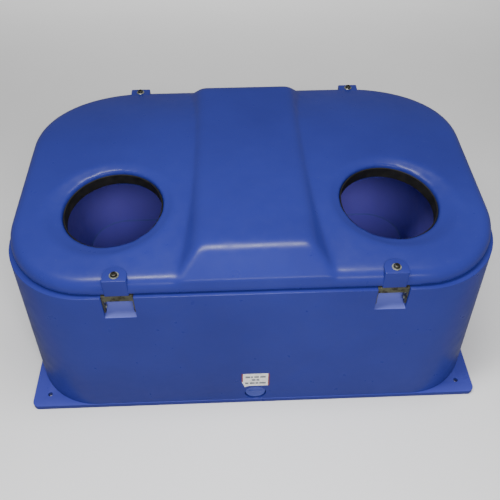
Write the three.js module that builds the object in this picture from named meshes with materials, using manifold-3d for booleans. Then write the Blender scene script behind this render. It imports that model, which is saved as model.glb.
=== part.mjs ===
// A frost-protected livestock drinking trough, in millimetres, +Z up, front towards -Y.
// Origin: centre of the base flange's underside. A double-walled blue tank carries a domed,
// foam-filled lid with two drinking openings and a raised housing over the float valve.
import * as THREE from "three";
import { mergeVertices } from "three/addons/utils/BufferGeometryUtils.js";
import Module from "manifold-3d";

const wasm = await Module();
wasm.setup();

// ---------------------------------------------------------------- driving dimensions
const GAP = 0.3; // between pieces that touch
const CUT = 1; // how far a cutter runs past the face it opens

const LENGTH = 1100; // base flange, left to right
const DEPTH = 704; // base flange, front to back
const TANK_HEIGHT = 418; // from the ground to the tank's rim

const FLANGE = { height: 14, radius: 16, sideLedge: 4, frontLedge: 1 };
const ANCHOR = { fromSide: 39, fromFront: 34, radius: 5.5 };

const TANK = { wall: 6, floor: 8, taper: 13 };
// Plan corner radii, at the front and at the rear.
const TANK_RADIUS = { base: 160, baseRear: 205, top: 185, topRear: 235 };
const BASIN = { wall: 5, floorHeight: 34, sideSpace: 55, frontSpace: 63, sideTaper: 5, frontTaper: 5 };
const BASIN_RADIUS = { floor: 105, floorRear: 105, top: 125, topRear: 165 };
const BASIN_LIP = { width: 18, height: 5 };

const LID = { wall: 6, seam: 2, sideStep: 9, frontStep: 6, radius: 185, rear: 240 };
const LID_SKIRT = 22; // straight part of the skirt, below the rounded edge
const LID_ROUND = 24; // radius of the rounded edge
const CROWN = { rise: 68, y: 100, frontFall: 26, rearFall: 22.5, sideFall: 12 };
const PAN = { rise: 14, wall: 6 };
const HOUSING = { halfX: 115, rise: 80, fromFront: 57, fromRear: 50, drop: 50 };
const HOUSING_SPREAD = { side: 50, front: 55, rear: 35 };
const RECESS = {
  wall: 6,
  sideSpace: 23,
  frontSpace: 30,
  rearSpace: 33,
  roof: 18,
  spread: 30,
  foot: 8,
  footHeight: 3,
};

const OPENING = { x: 307, y: -128, radius: 111, depth: 12, flare: 50, mouthRise: 16, pitch: 5, roll: 3 };
const OPENING_RING = { wall: 4.5, top: 8, height: 32 };
const GASKET = { width: 12, offset: 3 };

const BOLT = { x: 281.7, fromWall: 21, radius: 4, clearance: 0.3, reach: 18 };
const BOLT_HEAD = { radius: 7, height: 5, socket: 3.46, socketDepth: 3 };
const TAB = { radius: 25, face: 16, rise: 44 }; // face: from the bolt to the outer face
const WASHER = { radius: 10, height: 1.6, spotFace: 1 };
const POST_WALL = 8.2; // plastic round each bolt inside the lid

const POCKET = { halfX: 33, depth: 38, height: 63, wall: 5 };
const POCKET_SLOPE = { back: 40, mid: 14, midIn: 16 };
const BRACKET = { sheet: 3, setBack: 6, lip: 16, topDepth: 29, armDepth: 20, armHeight: 54 };
const SCREW = { fromFront: 16, upper: 24, pitch: 18, head: 4.2, headHeight: 2.4, radius: 2.2, bite: 4.5 };
const NUT = { radius: 7.5, height: 6.5 };

const DRAIN = { z: 41, recess: 26, recessDepth: 16, wall: 3.5, bore: 7.7, inside: 6 };
const DRAIN_FLANGE = { radius: 22, height: 3 };
const PLUG = { clearance: 0.3, cap: 23, capHeight: 7, grip: 6, gripHeight: 5, gripInset: 6, length: 52 };
const DRAIN_SEAL = { height: 1.5, inset: 2 };
const LABEL = { width: 66, height: 52, aboveDrain: 33, thickness: 0.6 };

const RISER = { y: 148, bore: 28, wall: 6, belowRim: 18, flange: 45, flangeHeight: 6 };
const PIPE = { radius: 10, bore: 7, bottom: 6 };
const PIVOT = { ahead: 78, height: 31, pin: 2.5, pinLength: 26, hub: 8, hubWidth: 12, clearance: 0.3 };
const ARM = { droop: 43.5, swing: 32, radius: 3.2, length: 230, finger: 14, fingerRadius: 2.2, nose: 4 };
const FLOAT = { radius: 50, boss: 7, bossLength: 12 };
const VALVE = { barrel: 13, start: 14, bore: 5.4, boreDepth: 28, cheek: 4, flange: 17, flangeHeight: 6 };
const OUTLET = { offset: 24, bore: 4.4, wall: 3.6, drop: 38 };
const ELBOW = { radius: 12, below: 8 };
const VALVE_PLATE = { ahead: 41, behind: 42, sheet: 3, halfX: 40, above: 23 };
const PLATE_SCREW = { x: 28, dy: 22, radius: 2.5, head: 5, headHeight: 3, bite: 5.5 };
const LOCKNUT = { extra: 2, height: 8 };
const UNION_NUT_HEIGHT = 20;
const PLUNGER = { clearance: 0.9, length: 28 };

const OPENING_SIDES = 32;
const CORNER_STEPS = 5;
const LONG_STEPS = 5;
const SHORT_STEPS = 3;
const ROUND_STEPS = 4; // rings over the lid's rounded edge
const CROWN_RINGS = 4; // rings from the rounded edge to the lid's middle
const MOUTH_STEPS = 5;

// ---------------------------------------------------------------- places that follow from them
const BASE_PLAN = { halfX: LENGTH / 2, halfY: DEPTH / 2, radius: FLANGE.radius };
const TANK_BASE = {
  halfX: BASE_PLAN.halfX - FLANGE.sideLedge,
  halfY: BASE_PLAN.halfY - FLANGE.frontLedge,
  radius: TANK_RADIUS.base,
  rear: TANK_RADIUS.baseRear,
};
const TANK_TOP = {
  halfX: TANK_BASE.halfX - TANK.taper,
  halfY: TANK_BASE.halfY,
  radius: TANK_RADIUS.top,
  rear: TANK_RADIUS.topRear,
};
const BASIN_TOP = {
  halfX: TANK_TOP.halfX - BASIN.sideSpace,
  halfY: TANK_TOP.halfY - BASIN.frontSpace,
  radius: BASIN_RADIUS.top,
  rear: BASIN_RADIUS.topRear,
};
const BASIN_FLOOR = {
  halfX: BASIN_TOP.halfX - BASIN.sideTaper,
  halfY: BASIN_TOP.halfY - BASIN.frontTaper,
  radius: BASIN_RADIUS.floor,
  rear: BASIN_RADIUS.floorRear,
};
const LID_BOTTOM = TANK_HEIGHT + LID.seam;
const LID_PLAN = {
  halfX: TANK_TOP.halfX - LID.sideStep,
  halfY: TANK_TOP.halfY - LID.frontStep,
  radius: LID.radius,
  rear: LID.rear,
};
const CROWN_Z = LID_BOTTOM + CROWN.rise;
const PAN_Z = LID_BOTTOM + PAN.rise;
const PAN_TOP = PAN_Z + PAN.wall;
const HOUSING_Z = LID_BOTTOM + HOUSING.rise;
const HOUSING_FRONT = -(LID_PLAN.halfY - HOUSING.fromFront);
const HOUSING_REAR = LID_PLAN.halfY - HOUSING.fromRear;
const BOLT_Y = TANK_TOP.halfY - BOLT.fromWall;
const BOLT_HOLE = BOLT.radius + BOLT.clearance;
const BOLT_END = TANK_HEIGHT - BOLT.reach;
const TAB_Z = LID_BOTTOM + TAB.rise;
const TAB_FACE = BOLT_Y + TAB.face;
const POCKET_BOTTOM = TANK_HEIGHT - POCKET.height;
const DRAIN_FACE = -TANK_BASE.halfY;
const DRAIN_SEAT = DRAIN_FACE + DRAIN.recessDepth;
const DRAIN_SLEEVE = DRAIN.bore + DRAIN.wall;
const BASIN_FRONT = -BASIN_FLOOR.halfY;
const RISER_TOP = TANK_HEIGHT - RISER.belowRim;
const PIVOT_AT = { y: RISER.y - PIVOT.ahead, z: RISER_TOP + PIVOT.height };
const PLATE_Y = RISER.y - VALVE_PLATE.ahead;

// ---------------------------------------------------------------- materials
const finish = (color, roughness, metalness = 0) =>
  new THREE.MeshStandardMaterial({ color, roughness, metalness });
const BLUE = finish(0x2f4a9e, 0.42);
const BASIN_BLUE = finish(0x2c3f88, 0.5);
const FOAM = finish(0xe6d9a8, 0.9);
const RUBBER = finish(0x0c0c0d, 0.7);
const STEEL = finish(0x8d9086, 0.4, 1);
const ZINC = finish(0xb4b8bd, 0.3, 1);
const BRASS = finish(0xb08d4a, 0.35, 1);
const PIPE_BLACK = finish(0x18191b, 0.5);
const FLOAT_ORANGE = finish(0xd2571e, 0.4);
const PAPER = finish(0xe9e9e4, 0.6);

// ---------------------------------------------------------------- solids
// A closed geometry as a manifold solid, with shared vertices merged and slivers dropped.
function solid(geometry) {
  const bare = geometry.index ? geometry.toNonIndexed() : geometry.clone();
  bare.deleteAttribute("normal");
  bare.deleteAttribute("uv");
  const merged = mergeVertices(bare, 1e-3);
  const index = merged.index.array;
  const kept = [];
  for (let i = 0; i < index.length; i += 3) {
    const [a, b, c] = index.subarray(i, i + 3);
    if (a !== b && b !== c && c !== a) kept.push(a, b, c);
  }
  const vertProperties = merged.attributes.position.array;
  return new wasm.Manifold(new wasm.Mesh({ numProp: 3, vertProperties, triVerts: new Uint32Array(kept) }));
}

function geometryOf(body) {
  const mesh = body.getMesh();
  return new THREE.BufferGeometry()
    .setAttribute("position", new THREE.BufferAttribute(mesh.vertProperties, 3))
    .setIndex(new THREE.BufferAttribute(mesh.triVerts, 1));
}

const join = (...bodies) => bodies.reduce((all, next) => all.add(next));
const cut = (body, ...tools) => tools.reduce((left, tool) => left.subtract(tool), body);

function box([x0, x1], [y0, y1], [z0, z1]) {
  const size = [x1 - x0, y1 - y0, z1 - z0].map(Math.abs);
  return solid(new THREE.BoxGeometry(...size).translate((x0 + x1) / 2, (y0 + y1) / 2, (z0 + z1) / 2));
}

// A cylinder between two points.
function rod(start, end, radius, segments = 20) {
  const from = new THREE.Vector3(...start);
  const along = new THREE.Vector3(...end).sub(from);
  const turn = new THREE.Quaternion().setFromUnitVectors(
    new THREE.Vector3(0, 1, 0),
    along.clone().normalize(),
  );
  const shape = new THREE.CylinderGeometry(radius, radius, along.length(), segments);
  const middle = from.addScaledVector(along, 0.5);
  return solid(shape.applyQuaternion(turn).translate(middle.x, middle.y, middle.z));
}

const tube = (start, end, outer, inner, segments = 20) =>
  cut(rod(start, end, outer, segments), rod(past(end, start), past(start, end), inner, segments));

// The point a cutter's length beyond end, seen from start.
function past(start, end) {
  const from = new THREE.Vector3(...start);
  const to = new THREE.Vector3(...end);
  return to.addScaledVector(to.clone().sub(from).normalize(), CUT).toArray();
}

// A hexagonal prism along Z.
const hexagon = ([x, y], [z0, z1], radius) => rod([x, y, z0], [x, y, z1], radius, 6);

// A profile of [radius, z] points turned round Z.
function turned(profile) {
  const points = profile.map(([r, z]) => new THREE.Vector2(r, z));
  return solid(new THREE.LatheGeometry(points, OPENING_SIDES).rotateX(Math.PI / 2));
}

// A straight-sided block whose top and bottom rectangles differ.
function taperedBox(bottom, top) {
  const shape = new THREE.BoxGeometry(1, 1, 1);
  const at = shape.attributes.position;
  for (let i = 0; i < at.count; i++) {
    const face = at.getZ(i) > 0 ? top : bottom;
    at.setXYZ(i, face.x[at.getX(i) > 0 ? 1 : 0], face.y[at.getY(i) > 0 ? 1 : 0], face.z);
  }
  return solid(shape);
}

// A rounded rectangle's points, anticlockwise, always the same number of them.
function outline({ halfX, halfY, radius, rear = radius }, inset = 0) {
  const x = halfX - inset;
  const y = halfY - inset;
  const points = [];
  const corners = [[1, 1, rear], [-1, 1, rear], [-1, -1, radius], [1, -1, radius]];
  corners.forEach(([sx, sy, size], corner) => {
    const r = Math.max(size - inset, 2);
    for (let step = 0; step <= CORNER_STEPS; step++) {
      const angle = ((corner + step / CORNER_STEPS) * Math.PI) / 2;
      points.push([sx * (x - r) + r * Math.cos(angle), sy * (y - r) + r * Math.sin(angle)]);
    }
    const next = corners[(corner + 1) % 4];
    const nextRadius = Math.max(next[2] - inset, 2);
    const end = corner % 2 === 0
      ? [next[0] * (x - nextRadius), next[1] * y]
      : [next[0] * x, next[1] * (y - nextRadius)];
    const from = points[points.length - 1];
    const steps = corner % 2 === 0 ? LONG_STEPS : SHORT_STEPS;
    for (let step = 1; step < steps; step++) {
      const share = step / steps;
      points.push([from[0] + (end[0] - from[0]) * share, from[1] + (end[1] - from[1]) * share]);
    }
  });
  return points;
}

// A closed solid through rings of [x, y, z] points, from the lowest ring to the highest.
function loft(rings) {
  const n = rings[0].length;
  const middle = (ring) => [0, 1, 2].map((k) => ring.reduce((sum, p) => sum + p[k], 0) / n);
  const vertices = [...rings.flat(), middle(rings[0]), middle(rings[rings.length - 1])];
  const bottom = vertices.length - 2;
  const top = vertices.length - 1;
  const faces = [];
  for (let i = 0; i < n; i++) {
    const j = (i + 1) % n;
    faces.push(bottom, j, i);
    for (let k = 0; k < rings.length - 1; k++) {
      const low = k * n;
      const high = low + n;
      faces.push(low + i, low + j, high + j, low + i, high + j, high + i);
    }
    const last = (rings.length - 1) * n;
    faces.push(top, last + i, last + j);
  }
  const geometry = new THREE.BufferGeometry();
  geometry.setAttribute("position", new THREE.Float32BufferAttribute(vertices.flat(), 3));
  return solid(geometry.setIndex(faces));
}

const flat = (points, z) => points.map(([x, y]) => [x, y, z]);
const mix = (a, b, share) => a + (b - a) * share;

// ---------------------------------------------------------------- shared shapes
const group = new THREE.Group();
function add(name, body, material) {
  const mesh = new THREE.Mesh(geometryOf(body), material);
  mesh.name = name;
  group.add(mesh);
  return mesh;
}

const SIDES = [["left", -1], ["right", 1]];
const ENDS = [["front", -1], ["rear", 1]];
const CORNERS = ENDS.flatMap(([end, sy]) => SIDES.map(([side, sx]) => ({ name: `${end}_${side}`, sx, sy })));
const span = (a, b, sign) => [sign * a, sign * b];

// A plan part of the way from one to another.
function between(low, high, share) {
  return Object.fromEntries(Object.keys(low).map((key) => [key, mix(low[key], high[key], share)]));
}

// The tank's outside at a height, drawn in by inset.
function tankRing(z, inset = 0) {
  const share = z / TANK_HEIGHT;
  return flat(outline(between(TANK_BASE, TANK_TOP, share), inset), z);
}

// The basin's inside at a height, grown by grow.
function basinRing(z, grow = 0) {
  const share = (z - BASIN.floorHeight) / (TANK_HEIGHT - BASIN.floorHeight);
  return flat(outline(between(BASIN_FLOOR, BASIN_TOP, share), -grow), z);
}

// The crowned surface that the lid's top follows inside its rounded edge.
function crown(x, y) {
  const reach = y < CROWN.y ? CROWN.y + BOLT_Y : BOLT_Y - CROWN.y;
  const fall = y < CROWN.y ? CROWN.frontFall : CROWN.rearFall;
  return CROWN_Z - fall * ((y - CROWN.y) / reach) ** 2 - CROWN.sideFall * (x / LID_PLAN.halfX) ** 2;
}

// The lid's domed outside, or a copy of it thinned by inset on the sides and the top.
function dome(inset, bottom) {
  const ring = (extra) => outline(LID_PLAN, inset + extra);
  const rings = [flat(ring(0), bottom), flat(ring(0), LID_BOTTOM + LID_SKIRT)];
  const shoulder = LID_BOTTOM + LID_SKIRT;
  for (let step = 1; step <= ROUND_STEPS; step++) {
    const angle = (step / ROUND_STEPS) * (Math.PI / 2);
    const inward = LID_ROUND * (1 - Math.cos(angle));
    const share = Math.sin(angle);
    rings.push(ring(inward).map(([x, y]) => [x, y, mix(shoulder, crown(x, y) - inset, share)]));
  }
  const edge = LID_ROUND;
  for (let step = 1; step < CROWN_RINGS; step++) {
    const scale = 1 - step / CROWN_RINGS;
    rings.push(ring(edge).map(([x, y]) => [x * scale, y * scale, crown(x * scale, y * scale) - inset]));
  }
  return loft(rings);
}

// The raised housing over the float valve, or the space inside it.
function housing(inset) {
  const x = HOUSING.halfX - inset;
  const y = [HOUSING_FRONT + inset, HOUSING_REAR - inset];
  const { side, front, rear } = HOUSING_SPREAD;
  const foot = { x: [-x - side, x + side], y: [y[0] - front, y[1] + rear], z: HOUSING_Z - HOUSING.drop };
  return taperedBox(foot, { x: [-x, x], y, z: HOUSING_Z - inset });
}

// Something made round Z at the origin, moved onto a drinking opening's own tilted axis.
function onOpening(body, sx) {
  const z = crown(OPENING.x, OPENING.y) - OPENING.depth;
  return body.rotate([OPENING.pitch, sx * OPENING.roll, 0]).translate([sx * OPENING.x, OPENING.y, z]);
}

// How far the cutters for a drinking opening run below and above its rim.
const OPENING_SPAN = [-CROWN.rise - LID_ROUND, HOUSING.rise];

// The cutter for a drinking opening: a straight hole with a soft dished mouth.
function openingCutter(grow) {
  const { radius, flare, mouthRise } = OPENING;
  const mouth = [];
  for (let step = 0; step <= MOUTH_STEPS; step++) {
    const share = step / MOUTH_STEPS;
    const rise = share * share * (3 - 2 * share);
    mouth.push([radius + grow + flare * share, mouthRise * rise - grow]);
  }
  const [low, high] = OPENING_SPAN;
  return turned([[0, low], [radius + grow, low], ...mouth, [radius + grow + flare, high], [0, high]]);
}

// ---------------------------------------------------------------- tank casing
function pocketCutter(sx, sy, grow) {
  const bottom = POCKET_BOTTOM;
  const outside = TANK_TOP.halfY + 8 * CUT;
  const back = TANK_TOP.halfY - POCKET.depth - grow;
  const { back: rise, mid, midIn } = POCKET_SLOPE;
  const shape = new THREE.Shape([
    new THREE.Vector2(outside, TANK_HEIGHT + CUT),
    new THREE.Vector2(back, TANK_HEIGHT + CUT),
    new THREE.Vector2(back, bottom + rise - grow),
    new THREE.Vector2(back + midIn, bottom + mid - grow),
    new THREE.Vector2(TANK_TOP.halfY, bottom - grow),
    new THREE.Vector2(outside, bottom - grow),
  ]);
  const width = 2 * (POCKET.halfX + grow);
  const block = new THREE.ExtrudeGeometry(shape, { depth: width, bevelEnabled: false });
  // shape x -> row y, shape y -> row z, depth -> row x
  block.applyMatrix4(new THREE.Matrix4().set(0, 0, 1, -width / 2, 1, 0, 0, 0, 0, 1, 0, 0, 0, 0, 0, 1));
  const body = solid(block);
  return (sy > 0 ? body : body.rotate([0, 0, 180])).translate([sx * BOLT.x, 0, 0]);
}

const onDrain = (y) => [0, y, DRAIN.z];

const forScrews = (visit) =>
  [["inner", -1], ["outer", 1]].forEach(([arm, side]) =>
    ["upper", "lower"].forEach((level, row) =>
      visit(`${arm}_${level}`, side, TANK_HEIGHT - SCREW.upper - row * SCREW.pitch)));

const SCREW_Y = TANK_TOP.halfY - SCREW.fromFront;
const ARM_FACE = POCKET.halfX - GAP - BRACKET.sheet; // inner face of a bracket's arm
const screwRod = (sx, sy, side, z, from, to, radius) =>
  rod(
    [sx * (BOLT.x + side * from), sy * SCREW_Y, z],
    [sx * (BOLT.x + side * to), sy * SCREW_Y, z],
    radius,
    10,
  );

{
  const outer = loft([tankRing(0), tankRing(TANK_HEIGHT)]);
  const hollow = loft([tankRing(TANK.floor, TANK.wall), tankRing(TANK_HEIGHT - TANK.wall, TANK.wall)]);
  const mouthWall = BASIN.wall + CUT;
  const mouth = loft([
    basinRing(TANK_HEIGHT - 3 * TANK.wall, mouthWall),
    basinRing(TANK_HEIGHT + CUT, mouthWall),
  ]);
  const pockets = CORNERS.map(({ sx, sy }) => pocketCutter(sx, sy, POCKET.wall).intersect(outer));
  const boss = rod(onDrain(DRAIN_FACE + 2), onDrain(DRAIN_SEAT + TANK.wall), DRAIN.recess + TANK.wall, 28);
  let casing = join(cut(outer, hollow, mouth), boss, ...pockets);
  const flange = loft([flat(outline(BASE_PLAN), 0), flat(outline(BASE_PLAN), FLANGE.height)]);
  casing = casing.add(cut(flange, hollow));
  for (const { sx, sy } of CORNERS) {
    const [x, y] = [sx * (BASE_PLAN.halfX - ANCHOR.fromSide), sy * (BASE_PLAN.halfY - ANCHOR.fromFront)];
    const anchorHole = rod([x, y, -CUT], [x, y, FLANGE.height + CUT], ANCHOR.radius, 16);
    casing = cut(casing, pocketCutter(sx, sy, 0), anchorHole);
    forScrews((_, side, z) => {
      const through = POCKET.halfX + POCKET.wall + CUT;
      casing = cut(casing, screwRod(sx, sy, side, z, ARM_FACE, through, SCREW.radius + GAP));
    });
  }
  casing = cut(
    casing,
    rod(onDrain(DRAIN_FACE - 10), onDrain(DRAIN_SEAT), DRAIN.recess, 28),
    rod(onDrain(DRAIN_SEAT - CUT), onDrain(DRAIN_SEAT + 2 * TANK.wall), DRAIN_SLEEVE + GAP),
    rod([0, RISER.y, -CUT], [0, RISER.y, TANK.floor + CUT], RISER.bore, 24),
  );
  add("tank_casing", casing, BLUE);
}

// ---------------------------------------------------------------- basin liner
function basinOutside(grow) {
  const floor = BASIN.floorHeight - BASIN.wall - grow;
  const wall = BASIN.wall + grow;
  return loft([basinRing(floor, wall), basinRing(TANK_HEIGHT + GAP, wall)]);
}

{
  const lipZ = TANK_HEIGHT + GAP;
  const lip = loft([
    flat(outline(BASIN_TOP, -BASIN.wall - BASIN_LIP.width), lipZ),
    flat(outline(BASIN_TOP, -BASIN.wall - BASIN_LIP.width), lipZ + BASIN_LIP.height),
  ]);
  const inside = loft([basinRing(BASIN.floorHeight), basinRing(lipZ + BASIN_LIP.height + CUT)]);
  const holeStart = BASIN_FRONT - 2 * BASIN.wall;
  const liner = cut(
    join(basinOutside(0), lip),
    inside,
    rod([0, RISER.y, 0], [0, RISER.y, BASIN.floorHeight + CUT], RISER.bore + RISER.wall + GAP, 24),
    rod(onDrain(holeStart), onDrain(BASIN_FRONT + DRAIN.inside + CUT), DRAIN_SLEEVE + GAP),
  );
  add("basin_liner", liner, BASIN_BLUE);
}

{
  const onRiser = (z) => [0, RISER.y, z];
  const collar = BASIN.floorHeight + GAP;
  let riser = cut(
    join(
      rod(onRiser(TANK.floor + GAP), onRiser(RISER_TOP), RISER.bore + RISER.wall, 24),
      rod(onRiser(collar), onRiser(collar + RISER.flangeHeight), RISER.flange, 24),
      rod(onRiser(RISER_TOP - RISER.flangeHeight), onRiser(RISER_TOP), RISER.flange, 24),
    ),
    rod(onRiser(0), onRiser(RISER_TOP + CUT), RISER.bore, 24),
  );
  for (const [, sx] of SIDES) {
    const [x, y] = [sx * PLATE_SCREW.x, RISER.y + PLATE_SCREW.dy];
    const holeEnd = [x, y, RISER_TOP - RISER.flangeHeight - CUT];
    riser = cut(riser, rod(holeEnd, [x, y, RISER_TOP + CUT], PLATE_SCREW.radius + GAP, 10));
  }
  add("supply_riser", riser, BASIN_BLUE);
}

// ---------------------------------------------------------------- insulation in the tank's walls
{
  const wall = TANK.wall + GAP;
  let foam = loft([tankRing(TANK.floor + GAP, wall), tankRing(TANK_HEIGHT - wall, wall)]);
  foam = cut(foam, basinOutside(GAP));
  for (const { sx, sy } of CORNERS) foam = cut(foam, pocketCutter(sx, sy, POCKET.wall + GAP));
  foam = cut(
    foam,
    rod(onDrain(DRAIN_FACE), onDrain(DRAIN_SEAT + wall), DRAIN.recess + wall, 28),
    rod(onDrain(DRAIN_FACE), onDrain(BASIN_FRONT), DRAIN_SLEEVE + GAP),
    rod([0, RISER.y, 0], [0, RISER.y, BASIN.floorHeight], RISER.bore + RISER.wall + GAP, 24),
  );
  add("tank_insulation", foam, FOAM);
}

// ---------------------------------------------------------------- lid
const lidOpenings = (grow) => SIDES.map(([, sx]) => onOpening(openingCutter(grow), sx));
const boltPosts = (radius, z0, z1) =>
  CORNERS.map(({ sx, sy }) => {
    const [x, y] = [sx * BOLT.x, sy * BOLT_Y];
    return rod([x, y, z0], [x, y, z1], radius, 16);
  });

// A tab: half round towards the lid's middle, square at its outer face.
function tab({ sx, sy }) {
  const [x, y] = [sx * BOLT.x, sy * BOLT_Y];
  const across = [x - TAB.radius, x + TAB.radius];
  const round = rod([x, y, LID_BOTTOM], [x, y, TAB_Z], TAB.radius, 24);
  return join(
    round.intersect(box(across, span(0, BOLT_Y + CUT, sy), [LID_BOTTOM, TAB_Z])),
    box(across, span(BOLT_Y, TAB_FACE, sy), [LID_BOTTOM, TAB_Z]),
  );
}

// The space under the lid's skin, above the pan that closes it.
function lidHollow(extra) {
  const wall = LID.wall + extra;
  const posts = boltPosts(BOLT_HOLE + POST_WALL + extra, 0, HOUSING_Z);
  return cut(join(dome(wall, 0), housing(wall)), ...lidOpenings(wall), ...posts);
}

{
  const outside = join(dome(0, LID_BOTTOM), housing(0), ...CORNERS.map(tab));
  const { halfX, halfY } = LID_PLAN;
  const belowPan = box([-halfX, halfX], [-halfY, halfY], [0, PAN_TOP + GAP]);
  const underPan = dome(LID.wall, 0).intersect(belowPan);
  const shell = cut(
    outside,
    lidHollow(0),
    ...lidOpenings(0),
    ...boltPosts(BOLT_HOLE, 0, HOUSING_Z),
    ...boltPosts(WASHER.radius + WASHER.spotFace, TAB_Z, HOUSING_Z),
    underPan,
  );
  add("lid_shell", shell, BLUE);
}

// The block of space under the housing that gives the float valve its headroom.
function recess(inset, bottom) {
  const top = HOUSING_Z - RECESS.roof;
  const out = (RECESS.spread * (top - bottom)) / (top - PAN_Z) - inset;
  const x = HOUSING.halfX - RECESS.sideSpace;
  const front = HOUSING_FRONT + RECESS.frontSpace;
  const rear = HOUSING_REAR - RECESS.rearSpace;
  return taperedBox(
    { x: [-x - out, x + out], y: [front - out, rear + out], z: bottom },
    { x: [-x + inset, x - inset], y: [front + inset, rear - inset], z: top - inset },
  );
}
function ringHole(sx) {
  const [low, high] = OPENING_SPAN;
  return onOpening(rod([0, 0, low], [0, 0, high], OPENING.radius, OPENING_SIDES), sx);
}

{
  const edge = outline(LID_PLAN, LID.wall + GAP);
  const plate = loft([flat(edge, PAN_Z), flat(edge, PAN_TOP)]);
  const pan = cut(
    plate,
    recess(RECESS.wall, PAN_Z - CUT),
    ...SIDES.map(([, sx]) => ringHole(sx)),
    ...boltPosts(BOLT_HOLE, 0, HOUSING_Z),
  );
  add("lid_pan", pan, BLUE);
}

// The cover's foot, a flat frame that lies on the pan.
function coverFoot(grow) {
  const x = HOUSING.halfX - RECESS.sideSpace + RECESS.spread + RECESS.foot + grow;
  const front = HOUSING_FRONT + RECESS.frontSpace - RECESS.spread - RECESS.foot - grow;
  const rear = HOUSING_REAR - RECESS.rearSpace + RECESS.spread + RECESS.foot + grow;
  return box([-x, x], [front, rear], [PAN_TOP + GAP - grow, PAN_TOP + GAP + RECESS.footHeight + grow]);
}

{
  const cover = cut(join(recess(0, PAN_TOP + GAP), coverFoot(0)), recess(RECESS.wall, PAN_TOP + GAP - CUT));
  add("valve_cover", cover, BLUE);
}

{
  const { halfX, halfY } = LID_PLAN;
  const above = box([-halfX, halfX], [-halfY, halfY], [PAN_TOP + GAP, HOUSING_Z]);
  const foam = cut(lidHollow(GAP).intersect(above), recess(-GAP, PAN_Z), coverFoot(GAP));
  add("lid_insulation", foam, FOAM);
}

for (const [side, sx] of SIDES) {
  const outer = OPENING.radius - GAP;
  const { wall, top, height } = OPENING_RING;
  const ring = tube([0, 0, -top - height], [0, 0, -top], outer, outer - wall, OPENING_SIDES);
  add(`opening_ring_${side}`, onOpening(ring, sx), RUBBER);
}

{
  const low = TANK_HEIGHT + GAP + BASIN_LIP.height + GAP;
  const outer = outline(BASIN_TOP, -BASIN.wall - GASKET.offset - GASKET.width);
  const inner = outline(BASIN_TOP, -BASIN.wall - GASKET.offset);
  const strip = cut(
    loft([flat(outer, low), flat(outer, PAN_Z - GAP)]),
    loft([flat(inner, low - CUT), flat(inner, PAN_Z + CUT)]),
  );
  add("lid_gasket", strip, RUBBER);
}

// ---------------------------------------------------------------- hold-down points, one per corner
for (const { name, sx, sy } of CORNERS) {
  const x = sx * BOLT.x;
  const y = sy * BOLT_Y;
  const hole = BOLT_HOLE;
  const face = TANK_TOP.halfY - BRACKET.setBack;
  const plateTop = TANK_HEIGHT;
  const plateBottom = plateTop - BRACKET.sheet;
  const width = POCKET.halfX - GAP;
  const across = [x - width, x + width];
  let bracket = join(
    box(across, span(face - BRACKET.topDepth, face, sy), [plateBottom, plateTop]),
    box(across, span(face - BRACKET.sheet, face, sy), [plateTop - BRACKET.lip, plateTop]),
  );
  for (const side of [-1, 1]) {
    const arm = box(
      [x + side * ARM_FACE, x + side * width],
      span(face - BRACKET.armDepth, face, sy),
      [plateTop - BRACKET.armHeight, plateTop],
    );
    bracket = bracket.add(arm.intersect(pocketCutter(sx, sy, -GAP)));
  }
  bracket = cut(bracket, rod([x, y, plateBottom - CUT], [x, y, plateTop + CUT], hole, 16));
  forScrews((label, side, z) => {
    bracket = cut(bracket, screwRod(sx, sy, side, z, ARM_FACE - CUT, width + CUT, SCREW.radius + GAP));
    const seat = ARM_FACE - GAP;
    const tip = POCKET.halfX + SCREW.bite;
    const screw = join(
      screwRod(sx, sy, side, z, seat - SCREW.headHeight, seat, SCREW.head),
      screwRod(sx, sy, side, z, seat - CUT, tip, SCREW.radius),
    );
    add(`bracket_screw_${name}_${label}`, screw, ZINC);
  });
  add(`bracket_${name}`, bracket, STEEL);

  const nutTop = plateBottom - GAP;
  const nutBlank = hexagon([x, y], [nutTop - NUT.height, nutTop], NUT.radius);
  const nut = cut(nutBlank, rod([x, y, nutTop - NUT.height - CUT], [x, y, nutTop + CUT], hole, 16));
  add(`captive_nut_${name}`, nut, ZINC);

  const washerZ = TAB_Z + GAP;
  const seat = washerZ + WASHER.height + GAP;
  add(`washer_${name}`, tube([x, y, washerZ], [x, y, washerZ + WASHER.height], WASHER.radius, hole), ZINC);
  const headTop = seat + BOLT_HEAD.height;
  const bolt = cut(
    join(
      rod([x, y, BOLT_END], [x, y, seat + CUT], BOLT.radius, 16),
      rod([x, y, seat], [x, y, headTop], BOLT_HEAD.radius, 20),
    ),
    hexagon([x, y], [headTop - BOLT_HEAD.socketDepth, headTop + CUT], BOLT_HEAD.socket),
  );
  add(`hold_down_bolt_${name}`, bolt, ZINC);
}

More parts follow.
